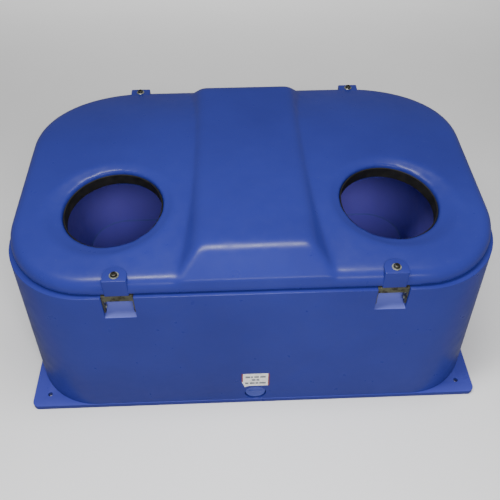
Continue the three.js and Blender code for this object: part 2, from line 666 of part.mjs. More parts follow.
// ---------------------------------------------------------------- drain
{
  const seat = DRAIN_SEAT - GAP;
  const flangeFace = seat - DRAIN_FLANGE.height;
  const sleeveEnd = BASIN_FRONT + DRAIN.inside;
  const sleeve = cut(
    join(
      rod(onDrain(flangeFace), onDrain(sleeveEnd), DRAIN_SLEEVE),
      rod(onDrain(flangeFace), onDrain(seat), DRAIN_FLANGE.radius, 24),
    ),
    rod(onDrain(flangeFace - CUT), onDrain(sleeveEnd + CUT), DRAIN.bore),
  );
  add("drain_sleeve", sleeve, BLUE);
  const sealFace = flangeFace - GAP - DRAIN_SEAL.height;
  const sealRadius = DRAIN_FLANGE.radius - DRAIN_SEAL.inset;
  add("drain_seal", tube(onDrain(sealFace), onDrain(flangeFace - GAP), sealRadius, DRAIN.bore), RUBBER);
  const capBack = sealFace - GAP;
  const capFront = capBack - PLUG.capHeight;
  const grip = box(
    [-PLUG.cap + PLUG.gripInset, PLUG.cap - PLUG.gripInset],
    [capFront - PLUG.gripHeight + CUT, capFront + CUT],
    [DRAIN.z - PLUG.grip / 2, DRAIN.z + PLUG.grip / 2],
  );
  const plug = join(
    rod(onDrain(capFront), onDrain(capBack), PLUG.cap, 28),
    rod(onDrain(capBack - CUT), onDrain(capBack + PLUG.length), DRAIN.bore - PLUG.clearance, 20),
    grip,
  );
  add("drain_plug", plug, BLUE);

  const labelFace = DRAIN_FACE - GAP;
  const label = box(
    [-LABEL.width / 2, LABEL.width / 2],
    [labelFace - LABEL.thickness, labelFace],
    [DRAIN.z + LABEL.aboveDrain, DRAIN.z + LABEL.aboveDrain + LABEL.height],
  );
  add("drain_label", label, PAPER);
}

// ---------------------------------------------------------------- float valve
const PLUNGER_Z = PIVOT_AT.z + ARM.finger;
const alongValve = (offset) => [0, PIVOT_AT.y + offset, PLUNGER_Z];
const PLATE_FRONT = PLATE_Y - PIVOT_AT.y;
const PLATE_BACK = PLATE_FRONT + VALVE_PLATE.sheet;
const pivotRod = (length, radius, sides = 12) =>
  rod([-length / 2, PIVOT_AT.y, PIVOT_AT.z], [length / 2, PIVOT_AT.y, PIVOT_AT.z], radius, sides);

{
  const foot = box(
    [-VALVE_PLATE.halfX, VALVE_PLATE.halfX],
    [PLATE_Y, RISER.y + VALVE_PLATE.behind],
    [RISER_TOP + GAP, RISER_TOP + GAP + VALVE_PLATE.sheet],
  );
  const upright = box(
    [-VALVE_PLATE.halfX, VALVE_PLATE.halfX],
    [PLATE_Y, PLATE_Y + VALVE_PLATE.sheet],
    [RISER_TOP + GAP, PLUNGER_Z + VALVE_PLATE.above],
  );
  let plate = cut(
    join(foot, upright),
    rod(alongValve(PLATE_FRONT - CUT), alongValve(PLATE_BACK + CUT), VALVE.barrel + GAP),
    rod([0, RISER.y, RISER_TOP], [0, RISER.y, RISER_TOP + VALVE_PLATE.sheet + CUT], VALVE.flange),
  );
  for (const [side, sx] of SIDES) {
    const [x, y] = [sx * PLATE_SCREW.x, RISER.y + PLATE_SCREW.dy];
    const z = RISER_TOP + 2 * GAP + VALVE_PLATE.sheet;
    plate = cut(plate, rod([x, y, RISER_TOP], [x, y, z + CUT], PLATE_SCREW.radius + GAP, 10));
    const screw = join(
      rod([x, y, z], [x, y, z + PLATE_SCREW.headHeight], PLATE_SCREW.head, 12),
      rod([x, y, RISER_TOP - PLATE_SCREW.bite], [x, y, z + CUT], PLATE_SCREW.radius, 10),
    );
    add(`valve_plate_screw_${side}`, screw, ZINC);
  }
  add("valve_plate", plate, STEEL);
}

{
  const outletY = PIVOT_AT.y + OUTLET.offset;
  const elbowEnd = [0, RISER.y, RISER_TOP - ELBOW.below];
  let body = join(
    rod(alongValve(VALVE.start), alongValve(PIVOT.ahead), VALVE.barrel, 20),
    rod(alongValve(PLATE_FRONT - VALVE.flangeHeight), alongValve(PLATE_FRONT - GAP), VALVE.flange, 20),
    rod([0, RISER.y, PLUNGER_Z + VALVE.barrel - CUT], elbowEnd, ELBOW.radius, 20),
    rod(alongValve(OUTLET.offset), [0, outletY, PLUNGER_Z - OUTLET.drop], OUTLET.bore + OUTLET.wall, 16),
  );
  for (const side of [-1, 1]) {
    const inner = PIVOT.hubWidth / 2 + 2 * GAP;
    const cheek = box(
      [side * inner, side * (inner + VALVE.cheek)],
      [PIVOT_AT.y - PIVOT.hub, PIVOT_AT.y + VALVE.start + CUT],
      [PIVOT_AT.z - PIVOT.hub, PLUNGER_Z + PIVOT.hub],
    );
    body = body.add(cheek);
  }
  body = cut(
    body,
    rod(alongValve(VALVE.start - CUT), alongValve(VALVE.start + VALVE.boreDepth), VALVE.bore, 16),
    rod([0, outletY, PLUNGER_Z], [0, outletY, PLUNGER_Z - OUTLET.drop - CUT], OUTLET.bore, 16),
    pivotRod(PIVOT.pinLength, PIVOT.pin + PIVOT.clearance),
  );
  add("valve_body", body, BRASS);
  const nutStart = PLATE_BACK + GAP;
  const nutEnd = nutStart + LOCKNUT.height;
  const locknut = cut(
    rod(alongValve(nutStart), alongValve(nutEnd), VALVE.flange + LOCKNUT.extra, 6),
    rod(alongValve(nutStart - CUT), alongValve(nutEnd + CUT), VALVE.barrel + GAP),
  );
  add("valve_locknut", locknut, BRASS);
  add("pivot_pin", pivotRod(PIVOT.pinLength, PIVOT.pin), ZINC);

  const onRiser = (z) => [0, RISER.y, z];
  const unionTop = elbowEnd[2] - GAP;
  const unionBottom = onRiser(unionTop - UNION_NUT_HEIGHT);
  const union = tube(unionBottom, onRiser(unionTop), VALVE.flange, PIPE.radius + GAP);
  add("pipe_union_nut", union, BRASS);
  add("supply_pipe", tube(onRiser(PIPE.bottom), onRiser(unionTop - GAP), PIPE.radius, PIPE.bore), PIPE_BLACK);
}

{
  const droop = THREE.MathUtils.degToRad(ARM.droop);
  const { y: pivotY, z: pivotZ } = PIVOT_AT;
  const onArm = (distance) => [0, pivotY - distance * Math.cos(droop), pivotZ - distance * Math.sin(droop)];
  const back = THREE.MathUtils.degToRad(ARM.swing / 2);
  const tip = { y: pivotY - ARM.finger * Math.sin(back), z: pivotZ + ARM.finger * Math.cos(back) };
  const rodEnd = ARM.length - FLOAT.radius - 1;
  const arm = cut(
    join(
      pivotRod(PIVOT.hubWidth, PIVOT.hub, 20),
      rod(onArm(0), onArm(rodEnd), ARM.radius, 12),
      rod([0, pivotY, pivotZ], [0, tip.y, tip.z], ARM.fingerRadius, 12),
      rod([-ARM.nose, tip.y, tip.z], [ARM.nose, tip.y, tip.z], ARM.nose, 16),
    ),
    pivotRod(PIVOT.pinLength, PIVOT.pin + PIVOT.clearance),
  );
  add("float_arm", arm, BRASS);
  const [x, y, z] = onArm(ARM.length);
  const ball = cut(
    join(
      solid(new THREE.SphereGeometry(FLOAT.radius, 20, 12).translate(x, y, z)),
      rod(onArm(rodEnd - FLOAT.bossLength), onArm(ARM.length - FLOAT.radius / 2), FLOAT.boss, 12),
    ),
    rod(onArm(rodEnd - FLOAT.bossLength - CUT), onArm(rodEnd + GAP), ARM.radius + GAP, 12),
  );
  add("float_ball", ball, FLOAT_ORANGE);

  const front = tip.y + ARM.nose + GAP - pivotY;
  const plungerRadius = VALVE.bore - PLUNGER.clearance;
  add("valve_plunger", rod(alongValve(front), alongValve(front + PLUNGER.length), plungerRadius, 16), BRASS);
}

export default group;
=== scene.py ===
import math

import bmesh
import bpy
from mathutils import Euler, Matrix, Vector


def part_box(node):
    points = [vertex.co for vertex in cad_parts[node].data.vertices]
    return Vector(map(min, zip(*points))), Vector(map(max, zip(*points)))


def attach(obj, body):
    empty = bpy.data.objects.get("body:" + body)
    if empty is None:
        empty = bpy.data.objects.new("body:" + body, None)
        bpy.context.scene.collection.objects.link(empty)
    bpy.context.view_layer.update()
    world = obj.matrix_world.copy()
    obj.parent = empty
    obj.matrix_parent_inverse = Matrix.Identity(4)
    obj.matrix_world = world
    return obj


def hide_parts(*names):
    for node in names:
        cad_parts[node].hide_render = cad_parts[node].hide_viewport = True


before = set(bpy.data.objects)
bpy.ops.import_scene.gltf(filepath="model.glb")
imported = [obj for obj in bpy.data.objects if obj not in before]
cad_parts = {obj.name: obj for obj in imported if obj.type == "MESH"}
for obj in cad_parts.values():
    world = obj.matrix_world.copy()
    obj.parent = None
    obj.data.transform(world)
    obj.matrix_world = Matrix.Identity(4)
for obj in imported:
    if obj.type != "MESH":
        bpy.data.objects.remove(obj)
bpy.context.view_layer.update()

# Lengths are in metres: X runs along the trough, Y towards its rear, Z up.
SIDES = (("left", -1), ("right", 1))
ENDS = (("front", -1), ("rear", 1))
CORNERS = [(f"{end}_{side}", sx, sy) for end, sy in ENDS for side, sx in SIDES]

TANK_LOW, TANK_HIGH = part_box("tank_casing")
LID_LOW, LID_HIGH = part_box("lid_shell")
RIM_Z = TANK_HIGH[2]
SEAM_Z = LID_LOW[2]
TAB_FACE = LID_HIGH[1]
TAB_Z, TAB_RADIUS = SEAM_Z + 0.044, 0.025
BOLT_X, BOLT_Y = 0.2817, 0.330
BOLT_BORE = 0.0043
CREST_Y, CREST_Z = 0.100, SEAM_Z + 0.068
LID_X, LID_Y = 0.524, 0.345
OPENING_X, OPENING_Y, OPENING_R = 0.307, -0.128, 0.111
RISER_Y, RISER_R, RISER_BORE = 0.148, 0.034, 0.028
DRAIN_Z, DRAIN_R = 0.041, 0.0115
BASIN_FLOOR_Z, FLANGE_THICK = 0.034, 0.014
COLUMN_SIDES = 128
TO_REAR = (-90, 0, 0)  # the turn that lays an upright piece down, its top towards the rear
NEAR = 1e-5  # places closer than this count as level with each other
SAME_POINT, SAME_RADIUS = 1e-6, 1e-7


# ------------------------------------------------------------------ modelling by hand
def only(obj):
    """Selects one piece and nothing else."""
    if bpy.context.object and bpy.context.object.mode != "OBJECT":
        bpy.ops.object.mode_set(mode="OBJECT")
    bpy.ops.object.select_all(action="DESELECT")
    obj.hide_set(False)
    obj.select_set(True)
    bpy.context.view_layer.objects.active = obj


def clear():
    """Deselects everything, ready for a new piece."""
    if bpy.context.object and bpy.context.object.mode != "OBJECT":
        bpy.ops.object.mode_set(mode="OBJECT")
    bpy.ops.object.select_all(action="DESELECT")


def named(name):
    """Names the piece that was just added."""
    obj = bpy.context.object
    obj.name = name
    obj.data.name = name
    return obj


def settle(obj):
    """Puts a piece's place, turn and scale into its mesh."""
    only(obj)
    bpy.ops.object.transform_apply(location=True, rotation=True, scale=True)
    return obj


def block(name, x, y, z):
    """A box between two places along each of X, Y and Z."""
    clear()
    place = [(a[0] + a[1]) / 2 for a in (x, y, z)]
    size = [abs(a[1] - a[0]) for a in (x, y, z)]
    bpy.ops.mesh.primitive_cube_add(size=1, location=place, scale=size)
    return settle(named(name))


def shaping(obj):
    only(obj)
    bpy.ops.object.mode_set(mode="EDIT")


def shaped(obj):
    bpy.ops.object.mode_set(mode="OBJECT")
    return obj


def pick(obj, kind, test):
    """Selects the corners, edges or faces whose points (and normal) pass the test."""
    bpy.ops.mesh.select_mode(type=kind)
    bpy.ops.mesh.select_all(action="DESELECT")
    mesh = bmesh.from_edit_mesh(obj.data)
    if kind == "VERT":
        chosen = [v for v in mesh.verts if test(v.co)]
    elif kind == "EDGE":
        chosen = [e for e in mesh.edges if test([v.co for v in e.verts])]
    else:
        chosen = [f for f in mesh.faces if test([v.co for v in f.verts], f.normal)]
    for item in chosen:
        item.select_set(True)
    bmesh.update_edit_mesh(obj.data)
    return len(chosen)


def upright(points):
    """An edge that stands up, however much it leans."""
    a, b = points
    return abs(a.z - b.z) > 3 * math.hypot(a.x - b.x, a.y - b.y)


def at_z(points, z):
    """All points at one height."""
    return all(abs(p.z - z) < NEAR for p in points)


def at_y(points, y):
    """All points equally far back."""
    return all(abs(p.y - y) < NEAR for p in points)


def round_edges(obj, width, steps, test):
    """Bevels the edges that pass the test."""
    if pick(obj, "EDGE", test):
        bpy.ops.mesh.bevel(offset=width, segments=steps, affect="EDGES", clamp_overlap=False)


def rounded(point, half_x, half_y, front, rear):
    """Pulls a point of the unit circle out to its place on a rounded rectangle.

    The quarter's first and last points go to the two ends of the corner's arc.
    """
    radius = rear if point.y > 0 else front
    quarter = math.pi / 2
    half_step = math.pi / COLUMN_SIDES
    past_first = math.atan2(abs(point.y), abs(point.x)) - half_step
    angle = past_first * quarter / (quarter - 2 * half_step)
    x = half_x - radius + radius * math.cos(angle)
    y = half_y - radius + radius * math.sin(angle)
    return math.copysign(x, point.x), math.copysign(y, point.y)


def column(name, levels):
    """A round post, one unit high per level, ready to be pulled to shape level by level."""
    clear()
    bpy.ops.mesh.primitive_circle_add(
        vertices=COLUMN_SIDES, radius=1, fill_type="NGON", rotation=(0, 0, math.pi / COLUMN_SIDES)
    )
    obj = settle(named(name))
    shaping(obj)
    bpy.ops.mesh.select_all(action="SELECT")
    for _ in range(levels):
        bpy.ops.mesh.extrude_region_move(TRANSFORM_OT_translate={"value": (0, 0, 1)})
    return obj


def drum(name, low, high, capped=(True, True)):
    """A wall between two rounded rectangles, closed at the ends that are capped.

    Each is (half length, half depth, front corner radius, rear corner radius, height).
    """
    obj = column(name, 1)
    mesh = bmesh.from_edit_mesh(obj.data)
    for vert in mesh.verts:
        *plan, height = high if vert.co.z > 0.5 else low
        vert.co.x, vert.co.y = rounded(vert.co.copy(), *plan)
        vert.co.z = height
    bmesh.update_edit_mesh(obj.data)
    for keep, end in zip(capped, (low, high)):
        if not keep:
            pick(obj, "FACE", lambda points, normal: at_z(points, end[-1]))
            bpy.ops.mesh.delete(type="ONLY_FACE")
    bpy.ops.mesh.select_all(action="SELECT")
    bpy.ops.mesh.normals_make_consistent(inside=False)
    return shaped(obj)


def modify(obj, kind, **settings):
    """Adds a modifier and applies it."""
    only(obj)
    modifier = obj.modifiers.new(kind.title(), kind)
    for key, value in settings.items():
        setattr(modifier, key, value)
    bpy.ops.object.modifier_apply(modifier=modifier.name)
    return obj


def carve(obj, *tools, operation="DIFFERENCE"):
    """Cuts the tools out of a piece, or joins them to it, and uses them up."""
    for tool in tools:
        modify(obj, "BOOLEAN", object=tool, operation=operation, solver="EXACT")
        bpy.data.objects.remove(tool, do_unlink=True)
    return obj


def soften(obj, width, steps=3, angle=40):
    """Rounds every edge sharper than an angle in degrees."""
    modify(
        obj, "BEVEL", width=width, segments=steps, limit_method="ANGLE",
        angle_limit=math.radians(angle), harden_normals=False, use_clamp_overlap=True,
    )
    return obj


def smooth(obj, angle=35):
    """Shades a piece smooth except at edges sharper than an angle in degrees."""
    only(obj)
    bpy.ops.object.shade_smooth_by_angle(angle=math.radians(angle))
    return obj


def stack(name, rings, sides=48, closed=(True, True)):
    """A turned piece round Z, drawn up ring by ring from (radius, height) pairs."""
    clear()
    first = rings[0]
    bpy.ops.mesh.primitive_circle_add(vertices=sides, radius=first[0], location=(0, 0, first[1]))
    obj = settle(named(name))
    shaping(obj)
    bpy.ops.mesh.select_all(action="SELECT")
    if closed[0]:
        bpy.ops.mesh.edge_face_add()
        pick(obj, "EDGE", lambda points: True)
    radius, height = first
    for next_radius, next_height in rings[1:]:
        rise = (0, 0, next_height - height)
        bpy.ops.mesh.extrude_region_move(TRANSFORM_OT_translate={"value": rise})
        if abs(next_radius - radius) > SAME_RADIUS:
            scale = next_radius / radius
            bpy.ops.transform.resize(value=(scale, scale, 1), center_override=(0, 0, next_height))
        radius, height = next_radius, next_height
    if closed[1]:
        bpy.ops.mesh.edge_face_add()
    bpy.ops.mesh.select_all(action="SELECT")
    bpy.ops.mesh.normals_make_consistent(inside=False)
    return shaped(obj)


def hoop(name, rings, sides=48):
    """A ring-shaped piece: its (radius, height) section is drawn round and closed on itself."""
    obj = stack(name, rings + [rings[0]], sides, closed=(False, False))
    shaping(obj)
    bpy.ops.mesh.select_all(action="SELECT")
    bpy.ops.mesh.remove_doubles(threshold=SAME_POINT)
    bpy.ops.mesh.normals_make_consistent(inside=False)
    return shaped(obj)


def laid(obj, place, turn=(0, 0, 0)):
    """Moves a piece made at the centre to its place, turned by degrees."""
    obj.rotation_euler = Euler([math.radians(a) for a in turn])
    obj.location = place
    return settle(obj)


def twin(obj, name, matrix):
    """A copy with its own mesh, put at another place."""
    clear()
    copy = obj.copy()
    copy.data = obj.data.copy()
    copy.name = copy.data.name = name
    bpy.context.collection.objects.link(copy)
    copy.data.transform(matrix)
    return copy


def fitted(obj, material, body, slot, *nodes):
    """Gives a finished piece its material, the body it rides on and the pieces it stands for."""
    obj.data.materials.clear()
    for each in material if isinstance(material, tuple) else (material,):
        obj.data.materials.append(each)
    if nodes:
        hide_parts(*nodes)
    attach(obj, body)
    return obj


# ------------------------------------------------------------------ finishes
MIX_A, MIX_B, MIX_RESULT = 6, 7, 2  # a Mix node's sockets for colours
NOISE_LOW, NOISE_HIGH = 0.3, 0.7  # nearly all of a noise lies between these


class Finish:
    """A material and the short calls that wire its nodes."""

    def __init__(self, name, **shader):
        self.material = bpy.data.materials.new(name)
        self.material.use_nodes = True
        self.nodes = self.material.node_tree.nodes
        self.links = self.material.node_tree.links
        self.shader = self.nodes["Principled BSDF"]
        self.coords = self.nodes.new("ShaderNodeTexCoord")
        self.bump_chain = None
        for key, value in shader.items():
            self.shader.inputs[key.replace("_", " ")].default_value = value

    def mapped(self, stretch):
        """Where a pattern is read: the piece's own place, stretched or as it is."""
        if stretch is None:
            return self.coords.outputs["Object"]
        mapping = self.nodes.new("ShaderNodeMapping")
        mapping.inputs["Scale"].default_value = stretch
        self.links.new(self.coords.outputs["Object"], mapping.inputs["Vector"])
        return mapping.outputs["Vector"]

    def noise(self, scale, detail, stretch=None, roughness=0.5):
        node = self.nodes.new("ShaderNodeTexNoise")
        node.inputs["Scale"].default_value = scale
        node.inputs["Detail"].default_value = detail
        node.inputs["Roughness"].default_value = roughness
        self.links.new(self.mapped(stretch), node.inputs["Vector"])
        return node.outputs["Fac"]

    def ramp(self, source, black_at, white_at):
        """Turns a noise into patches: black below one value, white above another."""
        node = self.nodes.new("ShaderNodeValToRGB")
        stops = ((black_at, 0.0), (white_at, 1.0))
        for element, (place, shade) in zip(node.color_ramp.elements, stops):
            element.position = place
            element.color = (shade, shade, shade, 1)
        self.links.new(source, node.inputs["Fac"])
        return node.outputs["Color"]

    def blend(self, amount, a, b):
        """Mixes two colours, each either fixed or another node's."""
        node = self.nodes.new("ShaderNodeMix")
        node.data_type = "RGBA"
        self.links.new(amount, node.inputs["Factor"])
        for socket, value in ((node.inputs[MIX_A], a), (node.inputs[MIX_B], b)):
            if isinstance(value, tuple):
                socket.default_value = (*value, 1)
            else:
                self.links.new(value, socket)
        return node.outputs[MIX_RESULT]

    def span(self, source, low, high):
        """Spreads a noise over the range from low to high."""
        node = self.nodes.new("ShaderNodeMapRange")
        node.inputs["From Min"].default_value = NOISE_LOW
        node.inputs["From Max"].default_value = NOISE_HIGH
        node.inputs["To Min"].default_value = low
        node.inputs["To Max"].default_value = high
        self.links.new(source, node.inputs["Value"])
        return node.outputs["Result"]

    def bump(self, height, strength, distance):
        """Adds relief on top of the relief that is already there."""
        node = self.nodes.new("ShaderNodeBump")
        node.inputs["Strength"].default_value = strength
        node.inputs["Distance"].default_value = distance
        self.links.new(height, node.inputs["Height"])
        if self.bump_chain:
            self.links.new(self.bump_chain, node.inputs["Normal"])
        self.bump_chain = node.outputs["Normal"]
        self.links.new(self.bump_chain, self.shader.inputs["Normal"])

    def colour(self, source):
        self.links.new(source, self.shader.inputs["Base Color"])

    def rough(self, source):
        self.links.new(source, self.shader.inputs["Roughness"])

    def mottle(self, scale, detail, dark, light):
        """A base colour that drifts between two shades."""
        tone = self.blend(self.span(self.noise(scale, detail), 0.0, 1.0), dark, light)
        self.colour(tone)
        return tone


def moulded_blue(name, deep, bright, rough=(0.27, 0.40), wave=0.22):
    """Rotationally moulded polyethylene: soft waves, faint pitting, scuffs and a little dust."""
    dust, wear_and_highlight = (0.25, 0.34, 0.62), (0.30, 0.38, 0.62)
    f = Finish(name, Specular_IOR_Level=0.36)
    tone = f.mottle(3.5, 4, deep, bright)
    speck = f.ramp(f.noise(420, 2), 0.66, 0.78)
    tone = f.blend(f.span(speck, 0.0, 0.10), tone, dust)
    scuff = f.ramp(f.noise(26, 6, stretch=(1, 9, 3), roughness=0.7), 0.66, 0.76)
    scuff_mask = f.ramp(f.noise(5, 3), 0.5, 0.68)
    scuffed = f.blend(scuff_mask, (0.0, 0.0, 0.0), scuff)
    f.colour(f.blend(f.span(scuffed, 0.0, 0.16), tone, wear_and_highlight))
    f.rough(f.span(f.noise(34, 4), *rough))
    f.bump(f.noise(9, 2), wave, 0.006)
    f.bump(f.noise(70, 3), 0.10, 0.0012)
    f.bump(f.noise(900, 2), 0.06, 0.0003)
    return f.material


def blackened_rubber():
    f = Finish("lining_rubber", Specular_IOR_Level=0.35)
    f.mottle(60, 4, (0.005, 0.005, 0.005), (0.014, 0.013, 0.012))
    f.rough(f.span(f.noise(120, 3), 0.6, 0.8))
    f.bump(f.noise(700, 2), 0.25, 0.0004)
    return f.material


def worn_metal(name, dark, light, stain, rough, metallic=1.0):
    """Handled metal: two shades, stains in patches, and a fine drawn grain."""
    f = Finish(name, Metallic=metallic)
    tone = f.mottle(60, 5, dark, light)
    spot = f.ramp(f.noise(95, 5, roughness=0.65), 0.5, 0.64)
    f.colour(f.blend(f.span(spot, 0.0, 0.75), tone, stain))
    f.rough(f.span(f.noise(150, 4), *rough))
    f.bump(f.noise(400, 3, stretch=(1, 1, 30)), 0.15, 0.0003)
    f.bump(f.noise(130, 4), 0.12, 0.0005)
    return f.material


def plain_moulding(name, dark, light, rough):
    f = Finish(name)
    f.mottle(18, 4, dark, light)
    f.rough(f.span(f.noise(60, 3), *rough))
    f.bump(f.noise(600, 2), 0.15, 0.0004)
    return f.material


def printed_paper(name, dark, light):
    f = Finish(name)
    f.mottle(160, 4, dark, light)
    f.rough(f.span(f.noise(90, 3), 0.4, 0.6))
    f.bump(f.noise(1200, 2), 0.12, 0.0002)
    return f.material


# each plastic: its deep and bright shade, then its roughness range and its waviness
SHELL = moulded_blue("blue_shell_plastic", (0.0175, 0.0235, 0.185), (0.0215, 0.0300, 0.230))
FLANGE = moulded_blue("blue_flange_plastic", (0.042, 0.050, 0.330), (0.054, 0.064, 0.410))
# a much lighter blue laid on up-facing faces: painted light on the pockets' floors, with some
# scuffing, and a painted highlight round the basin's floor
SCUFF_AND_PAINTED_LIGHT = moulded_blue(
    "blue_scuff_and_painted_light", (0.085, 0.100, 0.400), (0.120, 0.140, 0.500), (0.45, 0.6)
)
BASIN = moulded_blue(
    "blue_basin_plastic", (0.140, 0.115, 0.540), (0.170, 0.142, 0.640), (0.34, 0.48), 0.18
)
FITTING = moulded_blue(
    "blue_fitting_plastic", (0.050, 0.066, 0.30), (0.062, 0.080, 0.36), (0.34, 0.46), 0.05
)
RUBBER = blackened_rubber()
# each metal: its dark and light shade, its stain, its roughness range and how metallic it is
BRACKET_STEEL = worn_metal(
    "bracket_steel", (0.10, 0.10, 0.065), (0.20, 0.20, 0.14), (0.04, 0.03, 0.02), (0.42, 0.62), 0.7
)
BOLT_STEEL = worn_metal(
    "zinc_steel", (0.30, 0.32, 0.27), (0.48, 0.50, 0.44), (0.12, 0.10, 0.06), (0.32, 0.52), 0.8
)
SOCKET_STEEL = worn_metal(
    "darkened_steel", (0.035, 0.036, 0.030), (0.085, 0.085, 0.070), (0.03, 0.02, 0.012),
    (0.35, 0.5), 0.8,
)
VALVE_BRASS = worn_metal(
    "valve_brass", (0.40, 0.26, 0.09), (0.60, 0.42, 0.17), (0.10, 0.11, 0.07), (0.25, 0.45)
)
FLOAT_PLASTIC = plain_moulding("float_plastic", (0.52, 0.10, 0.02), (0.62, 0.14, 0.03), (0.3, 0.42))
PIPE_PLASTIC = plain_moulding(
    "pipe_plastic", (0.010, 0.011, 0.013), (0.022, 0.023, 0.026), (0.35, 0.5)
)
LABEL_PAPER = printed_paper("label_paper", (0.62, 0.61, 0.58), (0.80, 0.79, 0.76))
LABEL_RED = printed_paper("label_red", (0.15, 0.014, 0.016), (0.24, 0.024, 0.028))
LABEL_INK = printed_paper("label_ink", (0.12, 0.13, 0.15), (0.22, 0.23, 0.26))


# ------------------------------------------------------------------ tank casing and base flange
POCKET_HALF, POCKET_DEEP = 0.033, 0.063
POCKET_IN, POCKET_OUT = 0.313, 0.366


def pocket_cutter(sx, sy):
    """The scooped pocket that a bracket sits in, open at the rim."""
    scoop, steps = 0.034, 8
    x = sorted((sx * BOLT_X - POCKET_HALF, sx * BOLT_X + POCKET_HALF))
    y = sorted((sy * POCKET_IN, sy * POCKET_OUT))
    floor_z = RIM_Z - POCKET_DEEP
    cutter = block("pocket_cutter", x, y, (floor_z, RIM_Z + 0.01))
    shaping(cutter)
    back = sy * POCKET_IN
    round_edges(cutter, scoop, steps, lambda points: at_z(points, floor_z) and at_y(points, back))
    return shaped(cutter)


def drill(name, radius, low, high, place, turn=(0, 0, 0), sides=48):
    """A round cutter from one height to another, moved to its place."""
    return laid(stack(name, [(radius, low), (radius, high)], sides), place, turn)


def duct_cutter():
    """The hole that the supply pipe comes up through."""
    return drill("duct_cutter", RISER_BORE, -0.02, 0.05, (0, RISER_Y, 0))


def make_casing():
    """The outer tank: a rounded tub with four pockets, its mouth, drain and supply duct cut in."""
    base = (0.546, 0.351, 0.160, 0.205, 0.012)
    rim = (0.533, 0.351, 0.185, 0.235, RIM_Z)
    casing = drum("tank_casing_moulded", base, rim)
    mouth_floor = (0.4790, 0.2890, 0.111, 0.111, 0.020)
    mouth_top = (0.4837, 0.2937, 0.131, 0.171, RIM_Z + 0.02)
    mouth = drum("mouth_cutter", mouth_floor, mouth_top)
    drain = (0, TANK_LOW[1] + 0.001, DRAIN_Z)
    recess_r, recess_deep, wall = 0.026, 0.016, 0.11
    recess = drill("recess_cutter", recess_r, -0.02, recess_deep, drain, TO_REAR)
    channel = drill("channel_cutter", DRAIN_R, 0.0, wall, drain, TO_REAR, 32)
    pockets = [pocket_cutter(sx, sy) for _, sx, sy in CORNERS]
    carve(casing, mouth, recess, channel, duct_cutter(), *pockets)
    soften(casing, 0.0036, 4)
    smooth(casing, 38)
    fitted(casing, (SHELL, SCUFF_AND_PAINTED_LIGHT), "tank", "blue_shell", "tank_casing", "tank_insulation")

    # the pockets' up-facing curved floors take the lighter blue: painted light falling into the
    # pockets, with some scuffing
    beside, behind, before = POCKET_HALF + 0.0001, POCKET_IN - 0.001, 0.3500
    for face in casing.data.polygons:
        aside, deep = abs(abs(face.center.x) - BOLT_X), abs(face.center.y)
        in_pocket = aside < beside and behind < deep < before and face.center.z < RIM_Z - 0.004
        face.material_index = 1 if in_pocket and face.normal.z > 0.05 else 0


def make_flange():
    """The flat base flange with an anchor hole near each corner."""
    across, deep = (TANK_LOW[0], TANK_HIGH[0]), (TANK_LOW[1], TANK_HIGH[1])
    flange = block("base_flange", across, deep, (0, FLANGE_THICK))
    shaping(flange)
    round_edges(flange, 0.016, 6, upright)
    shaped(flange)
    anchor_x, anchor_y, anchor_r = 0.511, 0.318, 0.0055
    anchors = [(sx * anchor_x, sy * anchor_y, 0) for _, sx, sy in CORNERS]
    holes = [drill("hole_cutter", anchor_r, -0.01, 0.03, place, sides=24) for place in anchors]
    carve(flange, duct_cutter(), *holes)
    soften(flange, 0.0022, 3)
    smooth(flange, 38)
    fitted(flange, (FLANGE, SHELL), "tank", "blue_shell")
    # the top faces take the lighter flange blue and the sides the shell's blue
    for face in flange.data.polygons:
        face.material_index = 0 if face.normal.z > 0.5 else 1


# ------------------------------------------------------------------ basin and supply riser
def make_basin():
    """The liner: a leaning wall, a rounded foot and a rim in two steps, all one thickness."""
    foot_x, foot_y, mouth_x, mouth_y = 0.473, 0.283, 0.478, 0.288
    top = RIM_Z + 0.0053
    foot = (foot_x, foot_y, 0.105, 0.105, BASIN_FLOOR_Z)
    basin = drum("basin_moulded", foot, (mouth_x, mouth_y, 0.125, 0.165, top), (True, False))
    shaping(basin)
    round_edges(basin, 0.010, 5, lambda points: at_z(points, BASIN_FLOOR_Z))
    pick(basin, "EDGE", lambda points: at_z(points, top))
    narrower, rim_inner, rim_outer = mouth_x - mouth_y, 0.4845, 0.4995
    for grown, was in ((rim_inner, mouth_x), (rim_outer, rim_inner)):
        bpy.ops.mesh.extrude_region_move()
        growth = (grown / was, (grown - narrower) / (was - narrower), 1)
        bpy.ops.transform.resize(value=growth, center_override=(0, 0, top))
    bpy.ops.mesh.select_all(action="SELECT")
    bpy.ops.mesh.normals_make_consistent(inside=False)
    bpy.ops.mesh.flip_normals()
    shaped(basin)
    modify(basin, "SOLIDIFY", thickness=0.0045, offset=-1, use_even_offset=True)
    collar_r = RISER_R + 0.0003
    riser_hole = drill("riser_cutter", collar_r, 0.0, 0.06, (0, RISER_Y, 0))
    outside = (0, -foot_y - 0.02, DRAIN_Z)
    drain_hole = drill("drain_cutter", DRAIN_R, 0.0, 0.04, outside, TO_REAR, 32)
    carve(basin, riser_hole, drain_hole)
    soften(basin, 0.0012, 2, 50)
    smooth(basin, 38)
    fitted(basin, (BASIN, SCUFF_AND_PAINTED_LIGHT), "tank", "blue_basin", "basin_liner")

    # the curve round the floor takes the lighter blue as a painted highlight
    for face in basin.data.polygons:
        wear_and_highlight = face.center.z < BASIN_FLOOR_Z + 0.008 and 0.35 < face.normal.z < 0.93
        face.material_index = 1 if wear_and_highlight else 0


